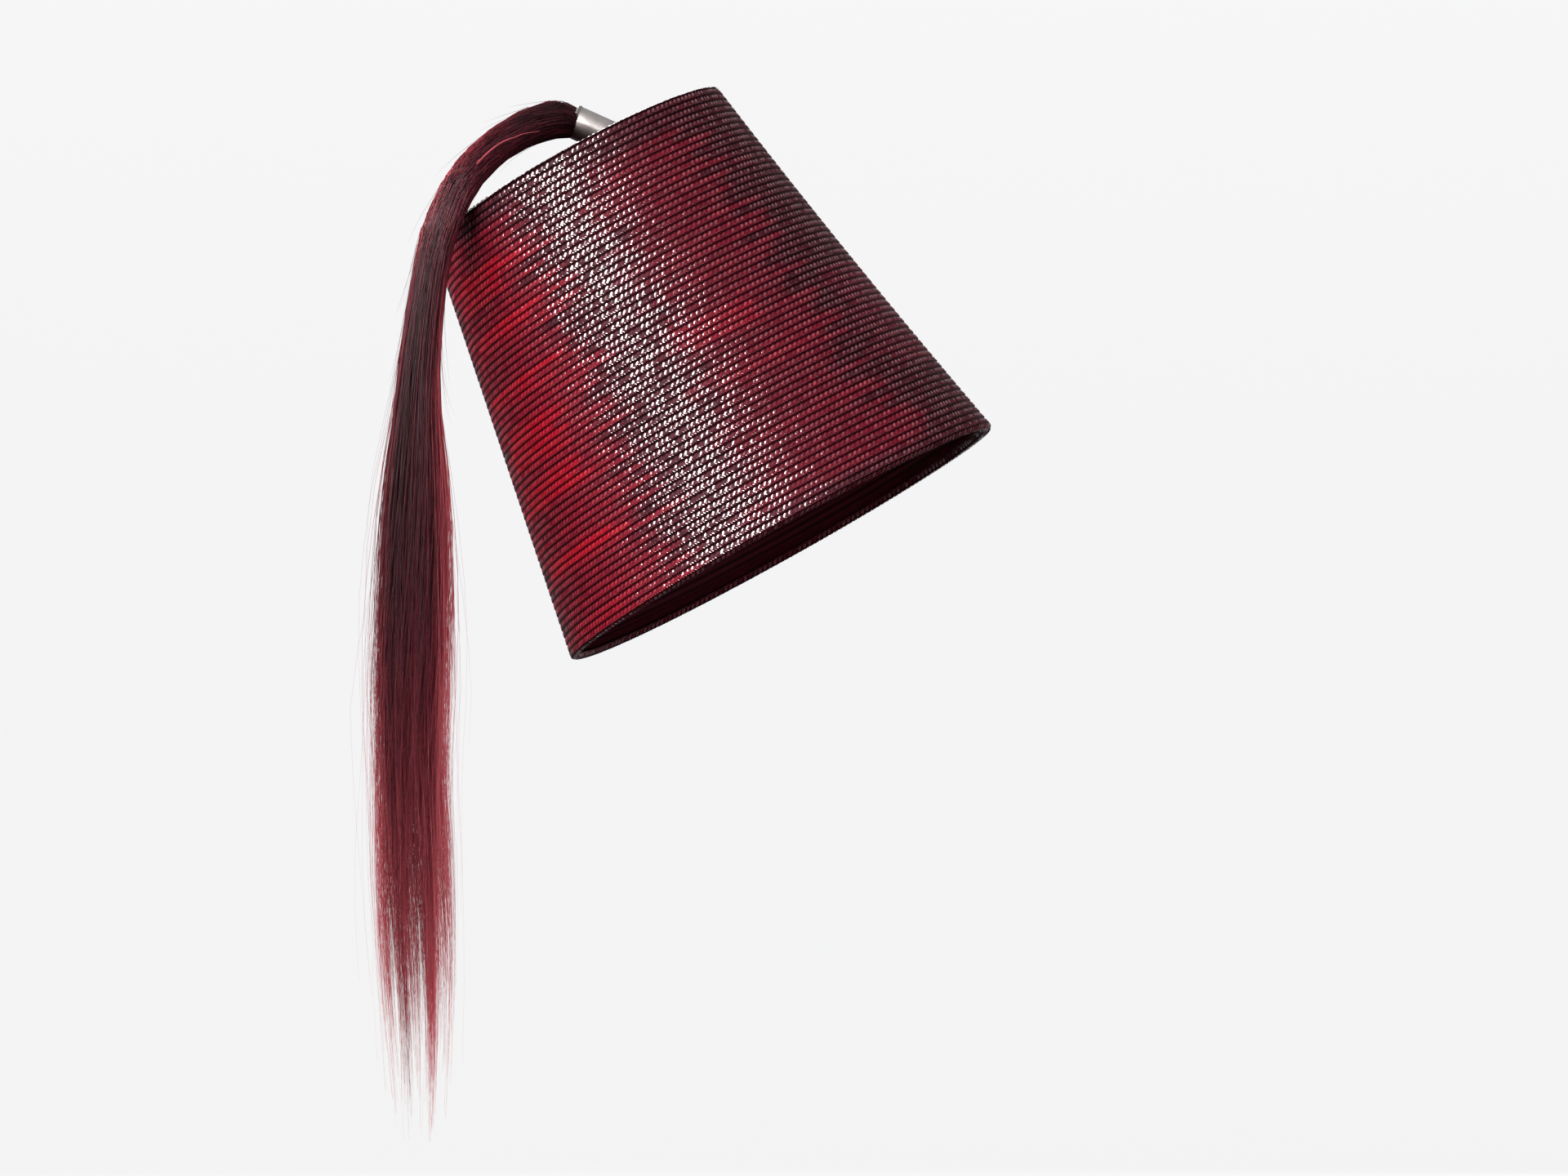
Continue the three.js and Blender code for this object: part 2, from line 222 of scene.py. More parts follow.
def piece(name, mesh, material=None):
    """A finished piece: it goes with the one body, and takes its finish from that slot."""
    made = bpy.data.objects.new(name, mesh)
    bpy.context.collection.objects.link(made)
    if material:
        mesh.materials.append(material)
    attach(made, "root")
    return made


class Wire:
    """An output socket of a shader or geometry tree. Arithmetic on it adds Math nodes."""

    def __init__(self, socket):
        self.socket = socket

    @staticmethod
    def node(tree, kind, settings=None, inputs=None, out=0):
        """Any node: its settings first, then the values or links of its sockets."""
        made = tree.nodes.new(kind)
        for key, value in (settings or {}).items():
            if key == "stops":
                ramp = made.color_ramp.elements
                while len(ramp) < len(value):
                    ramp.new(0.5)
                for stop, (position, colour) in zip(ramp, value):
                    stop.position, stop.color = position, (*colour, 1)
            else:
                setattr(made, key, value)
        for key, value in (inputs or {}).items():
            for part in value if isinstance(value, list) else [value]:
                if isinstance(part, Wire):
                    tree.links.new(part.socket, made.inputs[key])
                else:
                    made.inputs[key].default_value = part
        return Wire(made.outputs[out]) if made.outputs else None

    def at(self, key):
        """Another output of the same node."""
        return Wire(self.socket.node.outputs[key])

    def math(self, operation, *others, clamped=False):
        settings = {"operation": operation, "use_clamp": clamped}
        return Wire.node(self.socket.id_data, "ShaderNodeMath", settings, dict(enumerate((self, *others))))

    def __add__(self, other):
        return self.math("ADD", other)

    __radd__ = __add__

    def __mul__(self, other):
        return self.math("MULTIPLY", other)

    __rmul__ = __mul__

    def __sub__(self, other):
        return self.math("SUBTRACT", other)

    def __rsub__(self, other):
        return self.math("MULTIPLY_ADD", -1.0, other)

    def clamp(self):
        return self.math("ADD", 0.0, clamped=True)


def surface(name):
    """A material with its tree and its principled shader."""
    material = bpy.data.materials.new(name)
    material.use_nodes = True
    tree = material.node_tree
    shader = next(n for n in tree.nodes if n.type == "BSDF_PRINCIPLED")
    return material, tree, shader


def feed(tree, shader, **sockets):
    """Values or links for the shader's own sockets, words joined by _."""
    for key, value in sockets.items():
        socket = shader.inputs[key.replace("_", " ").title().replace("Ior", "IOR")]
        if isinstance(value, Wire):
            tree.links.new(value.socket, socket)
        else:
            socket.default_value = value


def carried(tree, key, out="Fac"):
    """A value that the mesh carries as an attribute."""
    return Wire.node(tree, "ShaderNodeAttribute", {"attribute_name": key}, out=out)


def noise(tree, vector, scale, detail):
    """Cloudy mottling, finer as the scale grows."""
    return Wire.node(tree, "ShaderNodeTexNoise", inputs={"Vector": vector, "Scale": scale, "Detail": detail})


def bumped(tree, height, strength):
    """The normal of a surface that is rough by a fifth of a millimetre."""
    relief = {"Strength": strength, "Distance": 0.0002, "Height": height}
    return Wire.node(tree, "ShaderNodeBump", inputs=relief)


def painted(tree, level, stops):
    """A colour that runs through the stops as the level goes from 0 to 1."""
    return Wire.node(tree, "ShaderNodeValToRGB", {"stops": stops}, {"Fac": level}, out="Color")


def blended(tree, share, under, over):
    """One colour turning into another as the share goes from 0 to 1."""
    return Wire.node(tree, "ShaderNodeMix", {"data_type": "RGBA"}, {0: share, 6: under, 7: over}, out=2)


BURGUNDY = (0.05, 0.007, 0.012)
CRIMSON = (0.16, 0.006, 0.018)
SCARLET = (0.4, 0.002, 0.015)
# Painted shade: the near black of the seams, and of strands where they dip under the next
PAINTED_SEAM_SHADE = (0.003, 0.0005, 0.001)


def braid_finish(name, fibre):
    """Glossy plaited braid: dark burgundy that turns crimson and scarlet where it is dyed, with painted shade
    nearly black down in the seams. With fibre it is a strand's finish, which has its gloss along the crown
    alone."""
    material, tree, shader = surface(name)
    place = Wire.node(tree, "ShaderNodeTexCoord", out="Object")
    cloudy = noise(tree, place, 260.0, 3.0)
    dye, tone, seam = (carried(tree, key) for key in ("dye", "tone", "seam"))
    red = (dye + (cloudy - 0.5) * 0.3 + (tone - 0.5) * 0.22).clamp()
    colour = painted(tree, red, [(0.05, BURGUNDY), (0.5, CRIMSON), (1.0, SCARLET)])
    if fibre:
        ends = carried(tree, "fibre", "Vector")
        xyz = Wire.node(tree, "ShaderNodeSeparateXYZ", inputs={0: ends})
        x, y = xyz.at(0), xyz.at(1)
        # 1 along the top of a strand, 0 where it dips under the next
        crown = (1.25 - 1.6 * (y * y + 0.7 * x * x * x * x)).clamp()
        drawn_out = {0: ends, 1: (1.2, 7.0, 1.0)}
        lies = Wire.node(tree, "ShaderNodeVectorMath", {"operation": "MULTIPLY"}, drawn_out)
        shift = Wire.node(tree, "ShaderNodeCombineXYZ", inputs={0: tone * 37.0, 1: tone * 91.0, 2: 0.0})
        lies = Wire.node(tree, "ShaderNodeVectorMath", {"operation": "ADD"}, {0: lies, 1: shift})
        threads = noise(tree, lies, 1.6, 2.0)
        # Painted shade: the strand turns nearly black where it dips under the next
        dark, gloss = (1 - crown) * 0.8, crown * (2.2 * tone - 0.3).clamp()
    else:
        threads = noise(tree, place, 1500.0, 2.0)
        # Painted shade, nearly black, down in the seams
        dark, gloss = seam * 0.9, 0.0
    feed(
        tree,
        shader,
        base_color=blended(tree, dark, colour, (*PAINTED_SEAM_SHADE, 1)),
        roughness=0.4 + 0.15 * cloudy,
        normal=bumped(tree, threads, 0.3),
        specular_ior_level=0.04,
        coat_weight=gloss,
        coat_roughness=0.17,
        coat_ior=1.7,
    )
    return material


# Each row leans out to its lower edge, which stands proud of the row below.
# At that share of the row: how deep the wall lies, and how dark the painted shade in the seam is.
ROW_SECTION = [(0.0, 1.15, 1.0), (0.1, 0.75, 0.9), (0.28, 0.36, 0.4), (0.7, 0.12, 0.4), (0.88, 0.26, 0.7)]
ROW_DEPTHS = np.array([depth for _, depth, _ in ROW_SECTION] + [0])  # the last is for the rings at the ends
ROW_PAINTED_SHADE = np.array([shade for _, _, shade in ROW_SECTION] + [0.3])
INSIDE_RELIEF = np.array([-0.25, 0.3, 0])
outside = wound(
    lambda row, angle, line: on_wall(row, angle) - out_of_wall(row, angle) * ROW_DEPTHS[line][..., None],
    FIRST_ROW,
    LAST_ROW,
    [share for share, _, _ in ROW_SECTION],
    outwards=True,
)
inside = wound(
    lambda row, angle, line: in_wall(row, angle, INSIDE_RELIEF[line]),
    FIRST_ROW,
    SIDE_ROWS,
    [0, 0.5],
    outwards=False,
)
count = len(outside[0])
top_middle = [[TOP_FORWARD, 0, HEIGHT + 0.2], [TOP_FORWARD, 0, HEIGHT - WALL]]
points = np.concatenate([outside[0], inside[0], top_middle])
faces = outside[1] + [[i + count for i in f] for f in inside[1]]
for j in range(COLUMNS):
    n = (j + 1) % COLUMNS
    faces.append([n, j, len(points) - 2])
    faces.append([count + j, count + n, len(points) - 1])
    faces.append([COLUMNS + j, COLUMNS + n, count + COLUMNS + n, count + COLUMNS + j])
both_sides = zip(outside[2:], inside[2:], (FIRST_ROW, 0, 0, 0))
rows, angles, lines, turns = (np.concatenate([out, within, [mid, mid]]) for out, within, mid in both_sides)
is_inside = np.arange(len(points)) >= count
# Painted shade in the seams of the outside, and along the seam line of the inside
seam = np.where(is_inside, lines == 0, ROW_PAINTED_SHADE[lines.astype(int)])
wall_values = {"dye": dyed(rows, angles, turns), "seam": seam}
wall_mesh = plain_mesh("braid_wall", tilted(points), faces, values=wall_values)
wall = piece("braid_wall", wall_mesh, braid_finish("braid wall", fibre=False))
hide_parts("braid_crown")


# Plait. The strands of the braid cross over and under each other along every row: large glossy ones show on
# the upper half of a row, slanting up toward the front, and the ends of the ones beneath show as small ones
# along its lower half. Sizes here are in metres, as the tree takes them.
PLAIT_INPUTS = {
    "Spacing": 0.0024,
    "Upper length": 0.0023,
    "Upper width": 0.00155,
    "Upper rise": 0.00028,
    "Upper slant": math.radians(44),
    "Upper offset": 0.00028,
    "Lower length": 0.0013,
    "Lower width": 0.0007,
    "Lower rise": 0.00018,
    "Lower slant": math.radians(-36),
    "Lower offset": -0.00072,
    "Sink": 0.00004,
    "Looseness": math.radians(5),
}
PATH_STEPS = 400  # points of the braid's middle line a turn
STRAND_LEAN = 0.17  # how far the strands face up the wall
STRAND_DEPTH = 0.24


def tree_with(name, numbers):
    """An empty geometry tree with a geometry and a material input, and one input for each number."""
    tree = bpy.data.node_groups.new(name, "GeometryNodeTree")
    tree.interface.new_socket("Geometry", in_out="INPUT", socket_type="NodeSocketGeometry")
    tree.interface.new_socket("Geometry", in_out="OUTPUT", socket_type="NodeSocketGeometry")
    for key in numbers:
        tree.interface.new_socket(key, in_out="INPUT", socket_type="NodeSocketFloat")
    tree.interface.new_socket("Seed", in_out="INPUT", socket_type="NodeSocketInt")
    tree.interface.new_socket("Material", in_out="INPUT", socket_type="NodeSocketMaterial")
    return tree, Wire.node(tree, "NodeGroupInput")


def ended(tree, given, shape):
    """Ends a tree: real geometry, smooth, in its material."""
    shape = Wire.node(tree, "GeometryNodeRealizeInstances", inputs={"Geometry": shape})
    shape = Wire.node(tree, "GeometryNodeSetShadeSmooth", inputs={"Geometry": shape})
    coated = {"Geometry": shape, "Material": given.at("Material")}
    shape = Wire.node(tree, "GeometryNodeSetMaterial", inputs=coated)
    Wire.node(tree, "NodeGroupOutput", inputs={0: shape})
    return tree


def domed_strand(tree, given, layer, cuts):
    """One strand, a low dome that narrows to its ends. Each point keeps its place on the strand as fibre."""
    spot = Wire.node(tree, "GeometryNodeInputPosition")
    xyz = Wire.node(tree, "ShaderNodeSeparateXYZ", inputs={0: spot})
    x, y = xyz.at(0), xyz.at(1)
    length, width, rise = (given.at(f"{layer} {word}") for word in ("length", "width", "rise"))
    flat = Wire.node(tree, "GeometryNodeMeshGrid", inputs={0: 2.0, 1: 2.0, 2: cuts, 3: 3})
    kept = {"Geometry": flat, "Name": "fibre", "Value": spot}
    flat = Wire.node(tree, "GeometryNodeStoreNamedAttribute", {"data_type": "FLOAT_VECTOR"}, kept)
    dome = (1 - y * y) * (1 - x * x * 0.8) * (1 + x * 0.25) * rise - given.at("Sink")
    along, over = x * length * 0.5, y * width * 0.5 * (1 - x * x * 0.45)
    shape = Wire.node(tree, "ShaderNodeCombineXYZ", inputs={0: along, 1: over, 2: dome})
    return Wire.node(tree, "GeometryNodeSetPosition", inputs={"Geometry": flat, "Position": shape})


def plait_tree():
    """Strands laid along a path in two layers, each strand a little askew and with a tone of its own."""
    tree, given = tree_with("plait along a row", PLAIT_INPUTS)
    path = Wire.node(tree, "GeometryNodeMeshToCurve", inputs={"Mesh": given})
    along = Wire.node(tree, "GeometryNodeInputTangent")
    out = Wire.node(tree, "GeometryNodeInputNamedAttribute", {"data_type": "FLOAT_VECTOR"}, {"Name": "out"})
    axes = {"primary_axis": "Z", "secondary_axis": "X"}
    facing = Wire.node(tree, "FunctionNodeAxesToRotation", axes, {0: out, 1: along})
    layers = []
    for number, (layer, share, cuts) in enumerate((("Upper", 1.0, 5), ("Lower", 0.5, 3))):
        strand = domed_strand(tree, given, layer, cuts)
        every = {"Curve": path, "Length": given.at("Spacing") * share}
        spots = Wire.node(tree, "GeometryNodeResampleCurve", {"mode": "LENGTH"}, every)
        placed = {"Points": spots, "Instance": strand, "Rotation": facing}
        laid = Wire.node(tree, "GeometryNodeInstanceOnPoints", inputs=placed)
        chance = []
        for i, low in enumerate((0.0, -1.0, -1.0, -1.0, 0.0)):
            drawn = {2: low, 3: 1.0, "Seed": given.at("Seed") + 5 * number + i}
            chance.append(Wire.node(tree, "FunctionNodeRandomValue", inputs=drawn, out=1))
        kept = {"Geometry": laid, "Name": "tone", "Value": chance[0] * share}
        laid = Wire.node(tree, "GeometryNodeStoreNamedAttribute", {"domain": "INSTANCE"}, kept)
        up = Wire.node(tree, "ShaderNodeCombineXYZ", inputs={0: 0.0, 1: given.at(f"{layer} offset"), 2: 0.0})
        raised = {"Instances": laid, "Translation": up}
        laid = Wire.node(tree, "GeometryNodeTranslateInstances", inputs=raised)
        tip, tilt, swing = (q * given.at("Looseness") for q in chance[1:4])
        slant = given.at(f"{layer} slant") + swing
        turn = Wire.node(tree, "ShaderNodeCombineXYZ", inputs={0: tip, 1: tilt, 2: slant})
        turn = Wire.node(tree, "FunctionNodeEulerToRotation", inputs={0: turn})
        laid = Wire.node(tree, "GeometryNodeRotateInstances", inputs={"Instances": laid, "Rotation": turn})
        size = Wire.node(tree, "ShaderNodeCombineXYZ", inputs={0: 1.0, 1: 1.0, 2: 0.75 + 0.45 * chance[4]})
        laid = Wire.node(tree, "GeometryNodeScaleInstances", inputs={"Instances": laid, "Scale": size})
        layers.append(laid)
    joined = Wire.node(tree, "GeometryNodeJoinGeometry", inputs={0: layers})
    return ended(tree, given, joined)


def grown(name, path, tree, numbers, seed, material):
    """The plain mesh that a geometry tree makes along a path."""
    source = bpy.data.objects.new(name + "_path", path)
    bpy.context.collection.objects.link(source)
    modifier = source.modifiers.new("grow", "NODES")
    modifier.node_group = tree
    entries = [s for s in tree.interface.items_tree if s.item_type == "SOCKET" and s.in_out == "INPUT"]
    sockets = {s.name: s.identifier for s in entries}
    for key, value in {**numbers, "Seed": seed, "Material": material}.items():
        modifier[sockets[key]] = value
    graph = bpy.context.evaluated_depsgraph_get()
    finished = source.evaluated_get(graph)
    made = bpy.data.meshes.new_from_object(finished, preserve_all_data_layers=True, depsgraph=graph)
    made.name = name
    bpy.data.objects.remove(source)
    return made


plait = plait_tree()
strand_finish = braid_finish("braid strand", fibre=True)
# The middle line of the braid, from the rim to the middle of the flat top, in three lengths
winding = np.arange(LAST_ROW - ROW_PHASE - 0.6, FIRST_ROW - ROW_PHASE - 0.2, -1 / PATH_STEPS)
row = winding + ROW_PHASE + 0.5
angle = -2 * np.pi * winding
straight_out = out_of_wall(row, angle)
up_wall = unit(on_wall(row - 0.1, angle) - on_wall(row + 0.1, angle))
leaning_out = unit(straight_out + STRAND_LEAN * up_wall)
middle = on_wall(row, angle) - straight_out * STRAND_DEPTH
travelled = np.concatenate([[0], np.cumsum(np.linalg.norm(np.diff(middle, axis=0), axis=1))])
for number, name in enumerate(("plait_rim", "plait_middle", "plait_top")):
    here = (travelled >= travelled[-1] * number / 3) & (travelled <= travelled[-1] * (number + 1) / 3)
    part = np.flatnonzero(here)
    dye = dyed(row[part], angle[part], np.floor(winding[part]))
    path_values = {"out": tilted(leaning_out[part]), "dye": dye}
    links = [(i, i + 1) for i in range(part.size - 1)]
    path = plain_mesh(name + "_line", tilted(middle[part]), [], links, path_values)
    piece(name, grown(name, path, plait, PLAIT_INPUTS, 20 + number, strand_finish))


# Ferrule post. A metal plug inside the ferrule, with a neck through the flat top and a flange beneath it,
# rivets the tassel on. Only the CAD solid's finish is added here.
FERRULE_LEAN = math.radians(36.5)
# The near black of the painted shade on the metal's underside
PAINTED_UNDERSIDE_SHADE = (0.07, 0.06, 0.058)


def pewter(name, dark, light, rough):
    """Satin pewter, brushed round the tube and a little tarnished, with painted shade that makes its
    underside nearly black.
    """
    material, tree, shader = surface(name)
    lean = TILT + FERRULE_LEAN
    place = Wire.node(tree, "ShaderNodeTexCoord", out="Object")
    tarnish = noise(tree, place, 160.0, 5.0)
    round_tube = {"Vector": place, "Rotation": (0, -lean, 0), "Scale": (300, 300, 5000)}
    grain = Wire.node(tree, "ShaderNodeMapping", inputs=round_tube)
    brushed = noise(tree, grain, 1.0, 3.0)
    colour = blended(tree, (tarnish * 1.6 - 0.3).clamp(), (*dark, 1), (*light, 1))
    # Painted shade: the metal is painted nearly black where it faces down
    facing = Wire.node(tree, "ShaderNodeNewGeometry", out="Normal")
    facing = Wire.node(tree, "ShaderNodeSeparateXYZ", inputs={0: facing})
    upward = facing.at("X") * math.cos(lean) + facing.at("Z") * math.sin(lean)
    feed(
        tree,
        shader,
        base_color=blended(tree, (upward * 6 + 0.45).clamp(), (*PAINTED_UNDERSIDE_SHADE, 1), colour),
        roughness=rough + 0.14 * tarnish,
        normal=bumped(tree, brushed, 0.25),
        metallic=1.0,
    )
    return material


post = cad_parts["ferrule_post"]
post.data.materials.clear()
post.data.materials.append(pewter("post metal", (0.2, 0.19, 0.18), (0.34, 0.32, 0.3), 0.4))


# Ferrule. A short drawn pewter tube that gathers the hair: its foot is cut on the slant to stand on the flat
# top, and its mouth is rolled outwards a little where the hair leaves it.
FERRULE_FORWARD = 21.5
FERRULE_LENGTH = 22.5
FERRULE_RADIUS = 7
FERRULE_WALL = 0.8
GAP = 0.3
SIDES = 72

foot = np.array([TOP_FORWARD + FERRULE_FORWARD, 0, HEIGHT])
axis = np.array([-math.sin(FERRULE_LEAN), 0, math.cos(FERRULE_LEAN)])
level_side = np.array([0.0, 1.0, 0.0])
upper_side = np.cross(level_side, axis)
inner = FERRULE_RADIUS - FERRULE_WALL
# Rings of the tube from the outer foot, over the rolled mouth and down the bore:
# radius, height as a share of the tube, and millimetres to add to that height
TUBE = [
    (FERRULE_RADIUS - 0.25, 0, 0.0),
    (FERRULE_RADIUS, 0, 0.25),
    (FERRULE_RADIUS, 0, 1.2),
    (FERRULE_RADIUS - 0.06, 0.3, 0),
    (FERRULE_RADIUS - 0.06, 0.62, 0),
    (FERRULE_RADIUS - 0.02, 1, -2.4),
    (FERRULE_RADIUS - 0.14, 1, -1.9),
    (FERRULE_RADIUS - 0.02, 1, -1.5),
    (FERRULE_RADIUS + 0.16, 1, -1.1),
    (FERRULE_RADIUS + 0.24, 1, -0.6),
    (FERRULE_RADIUS + 0.18, 1, -0.15),
    (FERRULE_RADIUS - 0.1, 1, 0),
    (FERRULE_RADIUS - 0.45, 1, -0.08),
    (inner + 0.02, 1, -0.5),
    (inner, 0.5, 0),
    (inner, 0, 0.25),
    (inner + 0.2, 0, 0.0),
]
turn = 2 * np.pi * np.arange(SIDES) / SIDES
rings = []
for radius, share, shift in TUBE:
    level = foot + radius * (np.cos(turn)[:, None] * upper_side + np.sin(turn)[:, None] * level_side)
    floor_height = (HEIGHT + GAP - level[:, 2]) / axis[2]
    rings.append(level + (floor_height * (1 - share) + FERRULE_LENGTH * share + shift)[:, None] * axis)


def ring_faces(rings, sides, closed=False):
    """Faces between rings of as many points. Closed, the last ring joins the first."""
    faces = []
    for i in range(rings if closed else rings - 1):
        this, following = i * sides, (i + 1) % rings * sides
        for j in range(sides):
            n = (j + 1) % sides
            faces.append([this + j, this + n, following + n, following + j])
    return faces


tube_faces = ring_faces(len(TUBE), SIDES, closed=True)
ferrule_mesh = plain_mesh("ferrule_tube", tilted(np.concatenate(rings)), tube_faces)
ferrule_metal = pewter("ferrule metal", (0.2, 0.182, 0.175), (0.32, 0.292, 0.28), 0.36)
ferrule = piece("ferrule_tube", ferrule_mesh, ferrule_metal)
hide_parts("tassel_ferrule")


# Hair tassel. A hank of long dyed hair set in the ferrule: it arches over the rear shoulder of the flat top
# and hangs plumb, fans out a little below, and thins to loose pointed locks. It is burgundy black inside,
# partly as painted shade, and its edges, its lower part and the bend at the shoulder are redder as painted
# light.
HAIR_RADIUS = 7.2
FAN_RADIUS = 17.5
HAIR_DEPTH = 0.8
HAIR_DROP = 243
SHOULDER_TURN = math.radians(225)
SHOULDER_LIFT = 1.5
SHOULDER_DRIFT = 14.5
SHOULDER_SLANT = math.radians(26)
ARCH_OUT, ARCH_DOWN = 9, 27
ARCH_SWELL = [0.94, 1.1, 1.14, 1.12, 1.08, 1.03, 1, 1, 1, 1]
# Down the fall: share of the way to the tips, share of the drift, share of the fan
FALL = [
    (0.04, 0.42, 0.42), (0.09, 0.66, 0.43), (0.15, 0.85, 0.48), (0.22, 0.96, 0.57),
    (0.31, 1.0, 0.82), (0.4, 1.02, 0.94), (0.5, 1.06, 1.0), (0.6, 1.06, 0.95),
    (0.7, 0.98, 0.86), (0.8, 0.88, 0.74), (0.9, 0.78, 0.6), (1.0, 0.74, 0.46),
]
HAIRS = 3600
STEPS = 18
CLUMPS = 90
LOOSE_SHARE = 0.06

half_length, half_width, cosine, sine, out = oval(0, np.array(SHOULDER_TURN))
flare = math.atan2((RIM_LENGTH - TOP_LENGTH) / 2, HEIGHT)
away = unit(np.array([out[0] * math.cos(flare), out[1] * math.cos(flare), math.sin(flare) + 1]))
shoulder = np.array([half_length * cosine + TOP_FORWARD, half_width * sine, HEIGHT])
shoulder = tilted(shoulder + away * (HAIR_RADIUS + SHOULDER_LIFT))
mouth, hair_axis = tilted(foot + axis * (FERRULE_LENGTH + GAP)), tilted(axis)
slanted = np.array([math.sin(SHOULDER_SLANT), 0, math.cos(SHOULDER_SLANT)])
fall = shoulder[2] + HAIR_DROP
stations = [(mouth - hair_axis * 4, inner * 0.98), (mouth - hair_axis * 0.5, inner * 0.98)]
for i, swell in enumerate(ARCH_SWELL):
    u = max(i / (len(ARCH_SWELL) - 1), 0.02)
    weights = (1 - u) ** 3, 3 * u * (1 - u) ** 2, 3 * u * u * (1 - u), u**3
    bend = mouth, mouth + hair_axis * ARCH_OUT, shoulder + slanted * ARCH_DOWN, shoulder
    stations.append((sum(k * q for k, q in zip(weights, bend)), HAIR_RADIUS * swell))
for down, drift, fan in FALL:
    stations.append((shoulder + [-SHOULDER_DRIFT * drift, 0, -fall * down], FAN_RADIUS * fan))
knots = np.array([p for p, _ in stations])
girth = np.array([r for _, r in stations])


def through(values, t):
    """A smooth line through the values, t counting them."""
    i = np.clip(np.floor(t).astype(int), 0, len(values) - 2)
    f = (t - i)[..., None]
    padded = np.concatenate([[2 * values[0] - values[1]], values, [2 * values[-1] - values[-2]]])
    p, q, r, s = (padded[i + k] for k in range(4))
    return q + 0.5 * f * (r - p + f * (2 * p - 5 * q + 4 * r - s + f * (3 * (q - r) + s - p)))


fine = np.linspace(0, len(knots) - 1, 1200)
route = through(knots, fine)
gone = np.concatenate([[0], np.cumsum(np.linalg.norm(np.diff(route, axis=0), axis=1))])
hair_length = gone[-1]
shoulder_share = np.interp(len(ARCH_SWELL) + 1, fine, gone) / hair_length


def along_hank(share):
    """The hank's middle, two ways across it and its radius, at shares of its length."""
    t = np.interp(share * hair_length, gone, fine)
    at = through(knots, t)
    before, beyond = np.maximum(t - 0.05, 0), np.minimum(t + 0.05, len(knots) - 1)
    ahead = unit(through(knots, beyond) - through(knots, before))
    sideways = unit(np.array([0, 1.0, 0]) - ahead * ahead[..., 1:2])
    return at, np.cross(ahead, sideways), sideways, through(girth[:, None], t)[..., 0]


def rises(value, start, length):
    """0 up to the start, and 1 from that length on."""
    return np.clip((value - start) / length, 0, 1)


def flat_share(share):
    """The hank is round to the shoulder, and flatter below it."""
    return 1 - (1 - HAIR_DEPTH) * rises(share, shoulder_share, 0.1)


def each(low, high):
    """One random number for each hair."""
    return dice.uniform(low, high, HAIRS)[:, None]


def on_circle(radius, turn):
    """Places across the hank, from how far out and which way round they lie."""
    return np.stack([radius * np.cos(turn), radius * np.sin(turn)], -1)


dice = np.random.default_rng(5)
clump_turn = dice.uniform(0, 2 * np.pi, CLUMPS)
clump_out = np.sqrt(dice.uniform(0.02, 0.9, CLUMPS))
clump_end = dice.normal(0.8, 0.07, CLUMPS)
clump_red = dice.uniform(-0.3, 0.3, CLUMPS)
# Toward the tips the clumps draw together in pointed wisps: place across the hank, and share of the clumps
WISPS = [(-0.85, 0.12), (-0.34, 0.4), (0.04, 0.18), (0.36, 0.18), (0.85, 0.12)]
rank = np.argsort(np.argsort(clump_out * np.cos(clump_turn + 0.77))) / CLUMPS
wisp_of = np.searchsorted(np.cumsum([share for _, share in WISPS])[:-1], rank)
clump_of = dice.integers(0, CLUMPS, HAIRS)
loose = dice.random(HAIRS) < LOOSE_SHARE
own_out = 0.94 * np.sqrt(dice.uniform(0.28, 1.0, HAIRS))
own_turn = dice.uniform(0, 2 * np.pi, HAIRS)
# A hair stays near its clump's side of the hank.
near = (own_turn - clump_turn[clump_of] + np.pi) % (2 * np.pi) - np.pi
own_turn = clump_turn[clump_of] + near * 0.45
ends = np.clip(clump_end[clump_of] + dice.normal(0, 0.05, HAIRS), 0.5, 1.0 - 0.14 * dice.random(HAIRS))
ends[loose] = dice.uniform(0.5, 1.0, loose.sum())
share = np.linspace(0, 1, STEPS)[None, :] ** 1.15 * ends[:, None]
at, back, sideways, radius = along_hank(share)

# Down its length a hair goes over from its own place in the hank to its clump's. Loose ones stray outwards.
gather = (rises(share, 0.28, 0.5) ** 1.1 * each(0.45, 0.95))[..., None]
waves = [np.sin(share * each(5, 13) + each(0, 7)) for _ in range(2)]
far_out = 1.05 + 0.85 * dice.random(HAIRS) ** 2
close_in = np.clip(dice.normal(0.84, 0.19, HAIRS), 0.35, 1.3)
stray = np.where(loose, far_out, close_in)[:, None]
leaves = np.where(loose[:, None], each(0.05, 0.6), each(0.2, 0.4))
open_out = 1 + (stray - 1) * rises(share, leaves, 0.25) + each(0, 1.1) * rises(share, 0.7, 0.3)
own, clump = on_circle(own_out, own_turn), on_circle(clump_out, clump_turn)[clump_of]
offset = own[:, None] * (1 - gather) + clump[:, None] * gather
c, s = np.cos(share * 0.9), np.sin(share * 0.9)
turned = np.stack([offset[..., 0] * c - offset[..., 1] * s, offset[..., 0] * s + offset[..., 1] * c], -1)
turned = turned * open_out[..., None]
drawn = np.where(loose[:, None], 0, each(0.45, 0.9)) * rises(share, 0.62, 0.26)
wisp_place = np.array([place for place, _ in WISPS])[wisp_of[clump_of]][:, None]
turned[..., 0] = turned[..., 0] * (1 - drawn) + wisp_place * (0.9 + 0.5 * share) * drawn
turned = turned + np.stack(waves, -1) * (0.02 + 0.1 * rises(share, 0.2, 0.4))[..., None]
to_front = (radius * turned[..., 0])[..., None]
to_side = (radius * flat_share(share) * turned[..., 1])[..., None]
strands = at - back * to_front + sideways * to_side
taper = np.clip(1.08 - share / ends[:, None], 0.1, 1) ** 0.6
thick = (0.2 - 0.07 * rises(share, 0.3, 0.3)) * taper * each(0.7, 1.15) * np.where(loose, 0.5, 1.0)[:, None]
